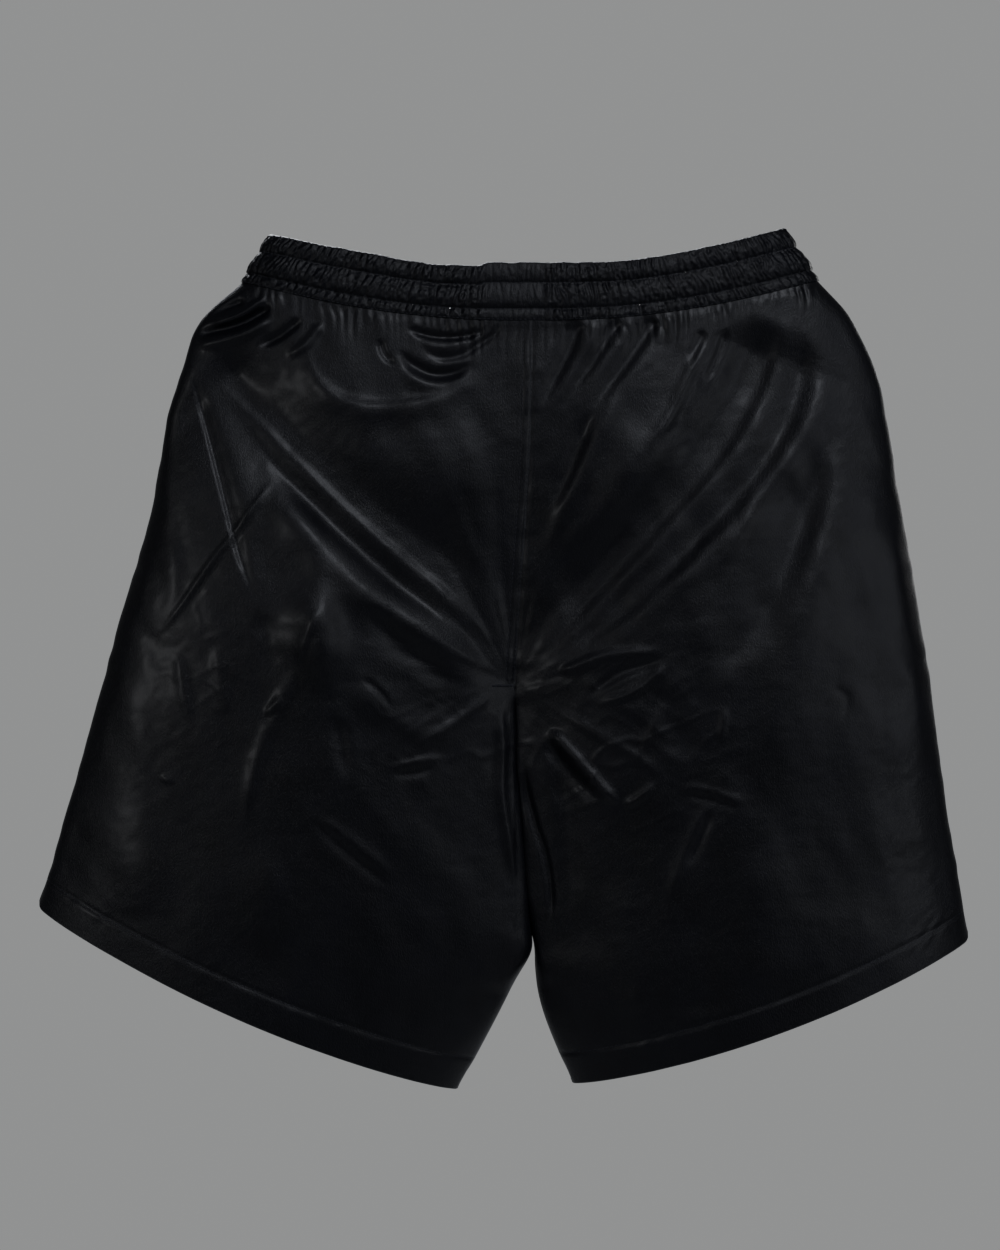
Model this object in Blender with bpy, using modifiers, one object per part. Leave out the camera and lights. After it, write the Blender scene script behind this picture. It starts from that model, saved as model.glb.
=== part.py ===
"""Black sports shorts with a gathered elastic waist, hanging open as they hang on a hanger.

Metres, +Z up. The origin is the middle of the waist opening, level with the waistband's top corners.
+X is the wearer's right. The wearer faces +Y, so the back of the shorts faces -Y.

The shorts are one tube from the waist to the crotch and two tubes from there to the hems. A point of
a panel has two coordinates: u runs across it, from the side seam (0) to the rise or inseam (1), and
v runs down it, from the waist seam (0) to the hem edge (1).
"""

import math

import bmesh
import bpy
import numpy as np
from mathutils import Vector

MM = 0.001

# Plies and gaps
PANEL_PLY = 1.2 * MM
CASING_PLY = 0.8 * MM
CASING_DEPTH = 3.6 * MM
ELASTIC_THICKNESS = 1.2 * MM
TURNUP_PLY = 1.0 * MM
OVERLOCK_PLY = 1.2 * MM
STRIP_DEPTH = 0.9 * MM  # from a panel's inner face to a strip that lies inside it, front to back
CLEARANCE = 0.3 * MM
SEAM_HALF = 0.9 * MM  # from the middle plane of the garment to the edge of a panel at a side seam
RISE_HALF = 0.3 * MM  # half the gap between the left and the right panel along the rise
LEG_HALF = 0.8 * MM  # half the gap between the two legs where they hang side by side

# The waistband, in shares of its height from the waist seam up
CASING_BOTTOM = 0.012  # the gap above the panels
ROW_LOWER, ROW_UPPER = 0.20, 0.64  # the two rows of stitches that quilt the elastic
ELASTIC_BOTTOM, ELASTIC_TOP = 0.06, 0.90
# Its strip's section, as (height, share of the casing's depth from the outside in)
CASING_SECTION = [(CASING_BOTTOM, 0), (ROW_LOWER, 0), (ROW_UPPER, 0), (0.96, 0), (0.99, 0.15), (1.0, 0.5),
                  (0.99, 0.85), (0.96, 1), (CASING_BOTTOM, 1)]

# Outlines as the shorts hang, as (x, z). Left is -X.
SIDE_SEAM = {
    "left": [(-0.190, -0.034), (-0.217, -0.060), (-0.232, -0.097), (-0.249, -0.180), (-0.273, -0.264),
             (-0.304, -0.379), (-0.325, -0.449)],
    "right": [(0.194, -0.033), (0.216, -0.057), (0.231, -0.090), (0.252, -0.199), (0.266, -0.282),
              (0.280, -0.380), (0.294, -0.470)],
}
RISE = [(0.004, -0.062), (0.002, -0.150), (-0.004, -0.240), (-0.008, -0.302)]
INSEAM = {
    "left": [(-0.008, -0.302), (-0.005, -0.380), (0.000, -0.445), (0.003, -0.475), (-0.011, -0.505),
             (-0.045, -0.570)],
    "right": [(-0.008, -0.302), (-0.005, -0.380), (0.000, -0.445), (0.004, -0.475), (0.007, -0.505),
              (0.029, -0.566)],
}
WAIST_TOP = {"left": (-0.171, -0.002), "right": (0.171, 0.002)}
WAIST_TOP_MIDDLE = (0.004, -0.025)
FRONT_WAIST_DROP = 0.012  # the front of the waist is cut this much lower than the back
WAIST_SEAM_SAG = 0.008
HEM_BOW = 0.009

# Half depths of the tube, front to back, as (at the folds of the tube, in its middle)
WAIST_TOP_DEPTH = (0.012, 0.021)
DEPTHS = [(0.0, 0.013, 0.024), (0.22, 0.015, 0.034), (0.47, 0.015, 0.040), (1.0, 0.014, 0.044)]
FOLD_POWER = 12  # how late a section closes: the higher, the flatter the tube and the tighter its folds

PANEL_ACROSS, PANEL_DOWN = 12, 16
HEM_HEIGHT = 0.019
TURNUP_INSET = PANEL_PLY + CLEARANCE
THREAD_RADIUS = 0.35 * MM
THREAD_LIFT = THREAD_RADIUS + CLEARANCE

MATERIALS = {
    "satin": ((0.012, 0.012, 0.016, 1), 0.42),
    "casing": ((0.011, 0.011, 0.014, 1), 0.5),
    "elastic": ((0.75, 0.75, 0.72, 1), 0.8),
    "thread": ((0.02, 0.02, 0.024, 1), 0.6),
    "label": ((0.8, 0.8, 0.78, 1), 0.7),
}
SIDES = ("left", "right")
FACES = {"back": -1, "front": 1}


# Shape

def smooth_curve(points):
    """A smooth curve through points, as a function of the share of its length."""
    p = np.array(points, float)
    knots = np.concatenate([[0], np.cumsum(np.linalg.norm(np.diff(p, axis=0), axis=1))])
    slopes = np.gradient(p, knots, axis=0)
    fine = []
    for i in range(len(p) - 1):
        span = knots[i + 1] - knots[i]
        for s in np.linspace(0, 1, 24, endpoint=False):
            fine.append(
                (1 + 2 * s) * (1 - s) ** 2 * p[i]
                + s * (1 - s) ** 2 * span * slopes[i]
                + s * s * (3 - 2 * s) * p[i + 1]
                + s * s * (s - 1) * span * slopes[i + 1]
            )
    fine = np.array(fine + [p[-1]])
    along = np.concatenate([[0], np.cumsum(np.linalg.norm(np.diff(fine, axis=0), axis=1))])
    along /= along[-1]
    return lambda s: np.array([np.interp(s, along, fine[:, k]) for k in range(fine.shape[1])])


def length_of(points):
    return float(np.linalg.norm(np.diff(np.array(points), axis=0), axis=1).sum())


side_curve = {s: smooth_curve(SIDE_SEAM[s]) for s in SIDES}
rise_curve = smooth_curve(RISE)
inseam_curve = {s: smooth_curve(INSEAM[s]) for s in SIDES}
CROTCH = length_of(RISE) / (length_of(RISE) + length_of(INSEAM["left"]))  # v at the crotch


def ease(t):
    t = min(max(t, 0.0), 1.0)
    return t * t * (3 - 2 * t)


def section(t, fold_half, middle_half):
    """Half depth of a tube at t, from -1 at one fold to 1 at the other."""
    t = min(abs(t), 1.0)
    return (fold_half + (middle_half - fold_half) * (1 - t * t)) * math.sqrt(1 - t**FOLD_POWER)


def depth_at(u, v):
    """Half depth of the garment: one tube at the waist, one for each leg from the crotch down."""
    stations = [d[0] for d in DEPTHS]
    fold_half = float(np.interp(v, stations, [d[1] for d in DEPTHS]))
    middle_half = float(np.interp(v, stations, [d[2] for d in DEPTHS]))
    leg = ease(v / CROTCH)
    one_tube = section(1 - u, fold_half, middle_half)
    return (1 - leg) * one_tube + leg * section(2 * u - 1, fold_half, middle_half)


def inner_edge(side, v):
    """The rise, then the inseam, as (x, z)."""
    sign = -1 if side == "left" else 1
    if v < CROTCH:
        x, z = rise_curve(v / CROTCH)
        return x + sign * RISE_HALF, z
    x, z = inseam_curve[side]((v - CROTCH) / (1 - CROTCH))
    return x + sign * LEG_HALF, z


def panel_point(side, face, u, v):
    """A point of the outer face of a panel."""
    x0, z0 = side_curve[side](v)
    x1, z1 = inner_edge(side, v)
    x = x0 + (x1 - x0) * u
    z = z0 + (z1 - z0) * u
    z -= 4 * u * (1 - u) * (WAIST_SEAM_SAG * (1 - ease(v / 0.4)) + HEM_BOW * ease((v - 0.6) / 0.4))
    if face == "front":
        z -= FRONT_WAIST_DROP * (1 - ease(v / 0.4)) * u
    return Vector((x, FACES[face] * (SEAM_HALF + depth_at(u, v)), z))


def across_shares():
    """Values of u for the columns of a panel. They crowd towards both ends, where the tube folds."""
    return [(1 - math.cos(math.pi * i / PANEL_ACROSS)) / 2 for i in range(PANEL_ACROSS + 1)]


def down_shares(side):
    """Values of v for the rows of a panel. The last but one is the stitch line of the hem."""
    hem_line = 1 - HEM_HEIGHT / length_of(SIDE_SEAM[side])
    return [hem_line * i / (PANEL_DOWN - 1) for i in range(PANEL_DOWN)] + [1.0]


def on_panel(side, face, u, v):
    """A point of a panel as it is meshed, flat between its rows and columns."""
    us, vs = across_shares(), down_shares(side)
    i = min(max(k for k, s in enumerate(us) if s <= u + 1e-9), len(us) - 2)
    j = min(max(k for k, s in enumerate(vs) if s <= v + 1e-9), len(vs) - 2)
    a, b = (u - us[i]) / (us[i + 1] - us[i]), (v - vs[j]) / (vs[j + 1] - vs[j])
    upper = panel_point(side, face, us[i], vs[j]).lerp(panel_point(side, face, us[i + 1], vs[j]), a)
    lower = panel_point(side, face, us[i], vs[j + 1]).lerp(panel_point(side, face, us[i + 1], vs[j + 1]), a)
    return upper.lerp(lower, b)


def waist_loop(height):
    """The waistband's outer wall, once round, at a height from 0 (waist seam) to 1 (top edge)."""
    loop = []
    for face, (first, second) in (("back", SIDES), ("front", SIDES[::-1])):
        us = across_shares()
        for side, u in [(first, u) for u in us] + [(second, u) for u in us[-2:0:-1]]:
            low = panel_point(side, face, u, 0.0)
            corner, middle = WAIST_TOP[side], WAIST_TOP_MIDDLE
            drop = FRONT_WAIST_DROP if face == "front" else 0.0
            x = corner[0] + (middle[0] - corner[0]) * u
            z = corner[1] + (middle[1] - drop - corner[1]) * (1 - (1 - u) ** 2)
            y = FACES[face] * (SEAM_HALF + section(1 - u, *WAIST_TOP_DEPTH))
            place = low.lerp(Vector((x, y, z)), height)
            loop.append(Vector((place.x, place.y if u else 0.0, place.z)))
    return loop


def leg_loop(side, v):
    """Once round a leg below the crotch, anticlockwise seen from above."""
    us = across_shares()
    faces = (("back", us if side == "left" else us[::-1]), ("front", us[::-1] if side == "left" else us))
    return [panel_point(side, face, u, v) for face, run in faces for u in run]


def pushed_in(loop, distance):
    """A closed loop that runs anticlockwise, seen from above, moved level towards its inside."""
    sides = [loop[(i + 1) % len(loop)] - p for i, p in enumerate(loop)]
    inward = [Vector((-s.y, s.x, 0)).normalized() for s in sides]
    moved = []
    for i, p in enumerate(loop):
        both = inward[i] + inward[i - 1]
        moved.append(p + both * (distance / (1 + inward[i].dot(inward[i - 1]))))
    return moved


# Blender objects

def clear_scene():
    for obj in list(bpy.data.objects):
        bpy.data.objects.remove(obj)


def make_materials():
    made = {}
    for name, (colour, roughness) in MATERIALS.items():
        material = bpy.data.materials.new(name)
        material.use_nodes = True
        shader = material.node_tree.nodes["Principled BSDF"]
        shader.inputs["Base Color"].default_value = colour
        shader.inputs["Roughness"].default_value = roughness
        shader.inputs["Metallic"].default_value = 0.0
        made[name] = material
    return made


def add_object(name, data, material):
    obj = bpy.data.objects.new(name, data)
    collection.objects.link(obj)
    obj.data.materials.append(materials[material])
    obj.parent = hanging_point
    return obj


def sheet_object(name, rows, material, thickness, closed=False):
    """A grid of points made into a sheet, then given its thickness inwards, behind its faces."""
    across = len(rows[0])
    bm = bmesh.new()
    bmesh.ops.create_grid(bm, x_segments=across - 1, y_segments=len(rows) - 1, size=1)
    for vert, place in zip(bm.verts, [p for row in rows for p in row]):
        vert.co = place
    if closed:
        bmesh.ops.remove_doubles(bm, verts=bm.verts, dist=0.01 * MM)
    mesh = bpy.data.meshes.new(name)
    bm.to_mesh(mesh)
    bm.free()
    obj = add_object(name, mesh, material)
    mesh.shade_smooth()
    shell = obj.modifiers.new("ply", "SOLIDIFY")
    shell.thickness = thickness
    shell.offset = -1
    return obj


def thread(name, points, closed=False, radius=THREAD_RADIUS):
    """A row of stitches, as one tube along its line."""
    data = bpy.data.curves.new(name, "CURVE")
    data.dimensions = "3D"
    data.bevel_depth = radius
    data.bevel_resolution = 0
    data.use_fill_caps = True
    spline = data.splines.new("POLY")
    spline.points.add(len(points) - 1)
    for point, place in zip(spline.points, points):
        point.co = (*place, 1)
    spline.use_cyclic_u = closed
    return add_object(name, data, "thread")


def lifted(points, face, lift=THREAD_LIFT):
    """Points moved off the garment, towards the side that this face looks to."""
    return [Vector((p.x, p.y + FACES[face] * lift, p.z)) for p in points]


# Parts

def add_panels():
    us = across_shares()
    for side in SIDES:
        for face in FACES:
            order = us if (side == "left") == (face == "back") else us[::-1]
            rows = [[panel_point(side, face, u, v) for u in order] for v in down_shares(side)[::-1]]
            sheet_object(f"{face}_panel_{side}", rows, "satin", PANEL_PLY)


def add_waistband():
    """A strip folded over the elastic: up the outside, over the top and down the inside."""
    rows = []
    for height, share in CASING_SECTION:
        loop = pushed_in(waist_loop(height), share * CASING_DEPTH)
        rows.append(loop + loop[:1])
    sheet_object("waistband_casing", rows, "casing", CASING_PLY, closed=True)

    inset = (CASING_DEPTH - ELASTIC_THICKNESS) / 2
    rows = []
    for height in (ELASTIC_BOTTOM, ELASTIC_TOP):
        loop = pushed_in(waist_loop(height), inset)
        rows.append(loop + loop[:1])
    sheet_object("waistband_elastic", rows, "elastic", ELASTIC_THICKNESS, closed=True)

    for name, height in (("lower", ROW_LOWER), ("upper", ROW_UPPER)):
        thread(f"waistband_stitch_{name}", pushed_in(waist_loop(height), -THREAD_LIFT), closed=True)


def add_hems():
    """The cloth turned up inside each leg, and the row of stitches that holds it."""
    for side in SIDES:
        rows = []
        for v in (1.0, down_shares(side)[-2]):
            loop = pushed_in([p for p in leg_loop(side, v) if abs(p.y) > 2 * SEAM_HALF], TURNUP_INSET)
            rows.append(loop + loop[:1])
        sheet_object(f"hem_turnup_{side}", rows, "satin", TURNUP_PLY, closed=True)
        round_leg = pushed_in(leg_loop(side, down_shares(side)[-2]), -THREAD_LIFT)
        thread(f"hem_stitch_{side}", round_leg, closed=True)


TOPSTITCH_ROWS = {"near": 1.5 * MM, "far": 6.5 * MM}  # their distances from the rise seam


def add_rise_topstitch():
    """Two rows beside the centre seam, on the wearer's left of it, back and front."""
    for face in FACES:
        for name, distance in TOPSTITCH_ROWS.items():
            points = []
            start, end = 0.01, CROTCH - 0.02
            for v in [start] + [v for v in down_shares("left") if start < v < end - 0.01] + [end]:
                width = inner_edge("left", v)[0] - side_curve["left"](v)[0]
                points.append(on_panel("left", face, 1 - distance / width, v))
            thread(f"{face}_rise_topstitch_{name}", lifted(points, face, 2 * THREAD_LIFT))


def strip_inside(name, side, face, us, v_from, v_to):
    """A narrow strip that lies inside a panel: the overlocked allowance of a seam."""
    us = us if (side == "left") == (face == "back") else us[::-1]
    vs = [v_from] + [v for v in down_shares(side) if v_from + 0.01 < v < v_to - 0.01] + [v_to]
    inwards = -(PANEL_PLY + STRIP_DEPTH)
    rows = [lifted([on_panel(side, face, u, v) for u in us], face, inwards) for v in vs[::-1]]
    sheet_object(name, rows, "thread", OVERLOCK_PLY)


# Where each overlocked allowance lies across its panel, as values of u
SIDE_STRIP, INSEAM_STRIP, RISE_STRIP = (0.067, 0.095), (0.905, 0.933), (0.93, 0.96)


def add_overlocks():
    for side in SIDES:
        low = down_shares(side)[-2] - 0.02
        strip_inside(f"side_seam_overlock_{side}", side, "back", SIDE_STRIP, 0.03, low)
        strip_inside(f"inseam_overlock_{side}", side, "back", INSEAM_STRIP, CROTCH + 0.05, low)
    for face in FACES:
        strip_inside(f"{face}_rise_overlock", "left", face, RISE_STRIP, 0.06, CROTCH - 0.06)


LABEL_WIDTH, LABEL_HEIGHT, LABEL_PLY = 0.030, 0.045, 0.6 * MM


def add_label():
    """A woven care label that hangs inside the back of the waist, from the waistband's lower edge."""
    middle = panel_point("left", "back", 1.0, 0.0)
    y = middle.y + CASING_DEPTH - CASING_PLY
    top = middle.z + CLEARANCE / 2
    rows = []
    for z in np.linspace(top - LABEL_HEIGHT, top, 4):
        rows.append([Vector((middle.x + x * LABEL_WIDTH / 2, y, z)) for x in (-1, 0, 1)])
    sheet_object("care_label", rows, "label", LABEL_PLY)


EYELET_SPACING, EYELET_LENGTH, EYELET_WIDTH = 0.045, 0.011, 0.005
EYELET_THREAD_RADIUS = 0.6 * MM
EYELET_LIFT = 1.0 * MM  # from the casing's outer face to the middle of the stitched ring
EYELET_MARGIN = 1.1 * MM  # from the middle of the stitched ring to the edge of the slit
SLIT_DEPTH = 2.6 * MM
EYELET_POINTS = 16


def add_eyelets():
    """Two stitched buttonholes at the front of the waistband, where a drawcord comes out."""
    front = [p for p in waist_loop((ROW_LOWER + ROW_UPPER) / 2) if p.y > 0]
    casing = bpy.data.objects["waistband_casing"]
    for side, x in (("left", -EYELET_SPACING / 2), ("right", EYELET_SPACING / 2)):
        first, second = sorted(front, key=lambda p: abs(p.x - x))[:2]
        centre = first.lerp(second, (x - first.x) / (second.x - first.x))
        ring = []
        for i in range(EYELET_POINTS):
            a = 2 * math.pi * i / EYELET_POINTS
            across, up = EYELET_WIDTH / 2 * math.cos(a), EYELET_LENGTH / 2 * math.sin(a)
            ring.append(centre + Vector((across, EYELET_LIFT, up)))
        thread(f"drawcord_eyelet_{side}", ring, closed=True, radius=EYELET_THREAD_RADIUS)

        bpy.ops.mesh.primitive_cylinder_add(vertices=EYELET_POINTS, radius=1, depth=1)
        cutter = bpy.context.object
        cutter.name = f"eyelet_cutter_{side}"
        cutter.scale = (EYELET_WIDTH / 2 - EYELET_MARGIN, EYELET_LENGTH / 2 - EYELET_MARGIN, SLIT_DEPTH)
        cutter.rotation_euler = (math.radians(90), 0, 0)
        cutter.location = centre
        for used in list(cutter.users_collection):
            used.objects.unlink(cutter)
        cutters.objects.link(cutter)
        cutter.hide_render = True
        cutter.display_type = "WIRE"
        cut = casing.modifiers.new(f"eyelet_{side}", "BOOLEAN")
        cut.operation = "DIFFERENCE"
        cut.object = cutter


BARTACK_FROM_RISE = (0.018, 0.012, 0.006)
BARTACK_RADIUS = 0.6 * MM


def add_bartack():
    """The short dense row of stitches that holds the four seams at the crotch."""
    points = []
    for distance in BARTACK_FROM_RISE:
        width = inner_edge("left", CROTCH)[0] - side_curve["left"](CROTCH)[0]
        points.append(panel_point("left", "back", 1 - distance / width, CROTCH))
    thread("crotch_bartack", lifted(points, "back", 3 * THREAD_LIFT), radius=BARTACK_RADIUS)


clear_scene()
collection = bpy.data.collections.new("shorts")
cutters = bpy.data.collections.new("cutters")
bpy.context.scene.collection.children.link(collection)
bpy.context.scene.collection.children.link(cutters)
hanging_point = bpy.data.objects.new("hanging_point", None)
collection.objects.link(hanging_point)
materials = make_materials()

add_panels()
add_waistband()
add_hems()
add_rise_topstitch()
add_overlocks()
add_label()
add_eyelets()
add_bartack()
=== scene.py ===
"""Black satin sports shorts with a gathered waistband, hanging open: the looks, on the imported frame.

Metres, +Z up. The back of the shorts faces -Y, towards the camera, and left (-X) is the wearer's left.
A point of a panel has two coordinates: u runs across it, from the side seam (0) to the rise or inseam
(1), and v runs down it, from the waist seam (0) to the hem edge (1). Sizes in the fold tables are in
millimetres.
"""

import math

import bpy
import numpy as np
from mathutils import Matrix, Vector


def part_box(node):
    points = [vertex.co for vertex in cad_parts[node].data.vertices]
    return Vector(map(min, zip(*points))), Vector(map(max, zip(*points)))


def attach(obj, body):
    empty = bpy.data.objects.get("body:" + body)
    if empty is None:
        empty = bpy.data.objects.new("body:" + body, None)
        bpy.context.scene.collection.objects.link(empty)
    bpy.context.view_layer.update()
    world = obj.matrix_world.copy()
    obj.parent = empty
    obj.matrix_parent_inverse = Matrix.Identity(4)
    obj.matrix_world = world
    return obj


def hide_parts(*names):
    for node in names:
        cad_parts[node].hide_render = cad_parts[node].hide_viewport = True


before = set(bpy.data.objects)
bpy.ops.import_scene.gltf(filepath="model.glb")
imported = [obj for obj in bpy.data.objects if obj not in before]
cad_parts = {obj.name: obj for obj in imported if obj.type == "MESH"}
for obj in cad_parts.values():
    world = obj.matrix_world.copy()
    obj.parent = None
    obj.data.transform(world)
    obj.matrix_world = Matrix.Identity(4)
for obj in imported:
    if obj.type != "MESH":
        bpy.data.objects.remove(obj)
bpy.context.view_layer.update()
MM = 0.001

SIDES = ("left", "right")
FACES = {"back": -1.0, "front": 1.0}

# The same outlines that the CAD panels follow, as (x, z)
SIDE_SEAM = {
    "left": [(-0.190, -0.034), (-0.217, -0.060), (-0.232, -0.097), (-0.249, -0.180), (-0.273, -0.264),
             (-0.304, -0.379), (-0.325, -0.449)],
    "right": [(0.194, -0.033), (0.216, -0.057), (0.231, -0.090), (0.252, -0.199), (0.266, -0.282),
              (0.280, -0.380), (0.294, -0.470)],
}
RISE = [(0.004, -0.062), (0.002, -0.150), (-0.004, -0.240), (-0.008, -0.302)]
INSEAM = {
    "left": [(-0.008, -0.302), (-0.005, -0.380), (0.000, -0.445), (0.003, -0.475), (-0.011, -0.505),
             (-0.045, -0.570)],
    "right": [(-0.008, -0.302), (-0.005, -0.380), (0.000, -0.445), (0.004, -0.475), (0.007, -0.505),
              (0.029, -0.566)],
}
WAIST_TOP = {"left": (-0.171, -0.002), "right": (0.171, 0.002)}
WAIST_TOP_MIDDLE = (0.004, -0.025)
FRONT_WAIST_DROP = 0.012
WAIST_SEAM_SAG = 0.008  # how much lower the waist seam hangs in the middle of each half
HEM_BOW = 0.009  # the same for the hem
WAIST_REACH = 0.4  # v down to which the waist seam's sag is felt
HEM_REACH = 0.6  # v from which the hem's bow is felt
HEM_HEIGHT = 0.019
# Half depths just before a fold and in the middle: at the waistband's top, then at some v
WAIST_TOP_DEPTH = (0.012, 0.021)
DEPTHS = [(0.0, 0.013, 0.024), (0.22, 0.015, 0.034), (0.47, 0.015, 0.040), (1.0, 0.014, 0.044)]
FOLD_POWER = 12  # how sharply the cloth turns in at a side seam or a free inseam
PRESSED_POWER = 70  # the same at an inseam, where the legs press together
INSEAM_DEPTH = {"left": 0.0125, "right": 0.011}  # half depth at a pressed inseam: the left leg lies in front
CROTCH_DEPTH = 0.012  # half depth at the crotch
OVERLAP = 2.5 * MM  # how far a leg's edge passes the line between the legs while they press together
LEGS_PART = 0.79  # v where the legs part
SEAM_HALF = 0.2 * MM  # added to every half depth, so that back and front stay apart
LEG_HALF = 0.1 * MM  # half the gap between the inseams where they do not press together
INSEAM_WAVER = (2.4 * MM, 26 * MM)  # height and size

# Lengths of v over which the shape changes
PRESS_RAMP = 0.035  # the inseams take their pressed depth
OVERLAP_RAMP = 0.015  # their edges come to overlap
OVERLAP_END_RAMP = 0.06  # the overlap ends
SEAM_RAMP = 0.03  # the inseams begin to waver and are sewn shut
WAVER_END_RAMP = 0.05
PART_RAMP = 0.08  # the legs part

TIERS = (0.0, 0.20, 0.64, 1.0)  # the waistband's stitch rows, as shares of its height


# Shape of the shorts without their folds

def ease(t):
    t = np.clip(t, 0.0, 1.0)
    return t * t * (3 - 2 * t)


def smooth_curve(points):
    """A smooth curve through points, as a function of the share of its length."""
    p = np.array(points, float)
    knots = np.concatenate([[0], np.cumsum(np.linalg.norm(np.diff(p, axis=0), axis=1))])
    slopes = np.gradient(p, knots, axis=0)
    fine = []
    for i in range(len(p) - 1):
        span = knots[i + 1] - knots[i]
        for s in np.linspace(0, 1, 24, endpoint=False):
            fine.append(
                (1 + 2 * s) * (1 - s) ** 2 * p[i]
                + s * (1 - s) ** 2 * span * slopes[i]
                + s * s * (3 - 2 * s) * p[i + 1]
                + s * s * (s - 1) * span * slopes[i + 1]
            )
    fine = np.array(fine + [p[-1]])
    along = np.concatenate([[0], np.cumsum(np.linalg.norm(np.diff(fine, axis=0), axis=1))])
    along /= along[-1]
    return lambda s: np.stack([np.interp(s, along, fine[:, k]) for k in range(2)], axis=-1)


def length_of(points):
    return float(np.linalg.norm(np.diff(np.array(points), axis=0), axis=1).sum())


side_curve = {s: smooth_curve(SIDE_SEAM[s]) for s in SIDES}
rise_curve = smooth_curve(RISE)
inseam_curve = {s: smooth_curve(INSEAM[s]) for s in SIDES}
CROTCH = length_of(RISE) / (length_of(RISE) + length_of(INSEAM["left"]))
HEM_LINE = {s: 1 - HEM_HEIGHT / length_of(SIDE_SEAM[s]) for s in SIDES}


def section(t, fold_half, middle_half):
    """Half depth of a flattened tube, from its fold (t is -1 or 1) to its middle (0)."""
    t = np.minimum(np.abs(t), 1.0)
    return (fold_half + (middle_half - fold_half) * (1 - t * t)) * np.sqrt(1 - t**FOLD_POWER)


def depth_at(side, u, v):
    """Half depth: one tube at the waist, one for each leg. Down to LEGS_PART the legs press together."""
    stations = [d[0] for d in DEPTHS]
    fold_half = np.interp(v, stations, [d[1] for d in DEPTHS])
    middle_half = np.interp(v, stations, [d[2] for d in DEPTHS])
    leg = ease(v / CROTCH)
    pressed = 1 - ease((v - LEGS_PART) / PART_RAMP)
    t = 2 * u - 1
    begun = ease((v - CROTCH) / PRESS_RAMP)
    at_inseam = INSEAM_DEPTH[side] * begun + CROTCH_DEPTH * (1 - begun)
    at_inseam = at_inseam * pressed + fold_half * (1 - pressed)
    inner = at_inseam + (middle_half - at_inseam) * (1 - t * t)
    power = PRESSED_POWER * pressed + FOLD_POWER * (1 - pressed)
    inner = inner * (1 - begun + begun * np.sqrt(np.maximum(1 - np.abs(t) ** power, 0)))
    tube = np.where(t < 0, section(t, fold_half, middle_half), inner)
    return (1 - leg) * section(1 - u, fold_half, middle_half) + leg * tube


def inner_edge(side, v):
    """x and z of the rise, and below it of a leg's inseam with its overlap and its waver."""
    sign = -1 if side == "left" else 1
    above = rise_curve(np.clip(v / CROTCH, 0, 1))
    below = inseam_curve[side](np.clip((v - CROTCH) / (1 - CROTCH), 0, 1))
    edge = np.where((v < CROTCH)[..., None], above, below)
    started = ease((v - CROTCH) / OVERLAP_RAMP)
    ended = ease((v - LEGS_PART + OVERLAP_END_RAMP) / OVERLAP_END_RAMP)
    apart = LEG_HALF - (LEG_HALF + OVERLAP) * started * (1 - ended)
    apart = np.where(v < CROTCH, 0.0, apart)
    wavering = ease((v - CROTCH) / SEAM_RAMP) * (1 - ease((v - LEGS_PART) / WAVER_END_RAMP))
    waver = INSEAM_WAVER[0] * lattice_noise(edge[..., 1], 0 * edge[..., 1], INSEAM_WAVER[1], 71) * wavering
    return np.stack([edge[..., 0] + sign * apart + waver, edge[..., 1]], axis=-1)


def plain_panel(side, face, u, v):
    """Points of a panel without its folds: x, outward depth and z."""
    outer = side_curve[side](v)
    flat = outer + (inner_edge(side, v) - outer) * u[..., None]
    at_waist = 1 - ease(v / WAIST_REACH)
    sag = WAIST_SEAM_SAG * at_waist + HEM_BOW * ease((v - HEM_REACH) / (1 - HEM_REACH))
    z = flat[..., 1] - 4 * u * (1 - u) * sag
    if face == "front":
        z = z - FRONT_WAIST_DROP * at_waist * u
    return flat[..., 0], SEAM_HALF + depth_at(side, u, v), z


# Folds

LATTICE = 128
LATTICE_SHIFT = (31.7, 17.3)  # keeps the middle of the shorts away from a lattice point


def lattice_noise(x, z, size, seed):
    """Smooth noise from -1 to 1 on a lattice of that size."""
    rng = np.random.default_rng(seed)
    table = rng.uniform(-1, 1, (LATTICE, LATTICE))
    gx = x / size + LATTICE_SHIFT[0]
    gz = z / size + LATTICE_SHIFT[1]
    ix = np.floor(gx).astype(int)
    iz = np.floor(gz).astype(int)
    fx = ease(gx - ix)
    fz = ease(gz - iz)
    ix, iz, jx, jz = ix % LATTICE, iz % LATTICE, (ix + 1) % LATTICE, (iz + 1) % LATTICE
    low = table[ix, iz] * (1 - fx) + table[jx, iz] * fx
    high = table[ix, jz] * (1 - fx) + table[jx, jz] * fx
    return low * (1 - fz) + high * fz


POINTS_PER_KNOT = 6


def along_path(x, z, path):
    """Signed distance to a path, positive on its left, and the share of its length at the nearest point."""
    curve = smooth_curve([(a * MM, b * MM) for a, b in path])
    fine = curve(np.linspace(0, 1, POINTS_PER_KNOT * len(path)))
    pieces = np.diff(fine, axis=0)
    lengths = np.linalg.norm(pieces, axis=1)
    starts = np.concatenate([[0], np.cumsum(lengths)])
    best = np.full(x.shape, np.inf)
    signed = np.zeros(x.shape)
    share = np.zeros(x.shape)
    for i, (piece, length) in enumerate(zip(pieces, lengths)):
        dx, dz = x - fine[i, 0], z - fine[i, 1]
        t = np.clip((dx * piece[0] + dz * piece[1]) / (length * length), 0, 1)
        ox, oz = dx - t * piece[0], dz - t * piece[1]
        distance = np.hypot(ox, oz)
        closer = distance < best
        best = np.where(closer, distance, best)
        signed = np.where(closer, np.sign(piece[0] * oz - piece[1] * ox) * distance, signed)
        share = np.where(closer, (starts[i] + t * length) / starts[-1], share)
    return signed, share


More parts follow.
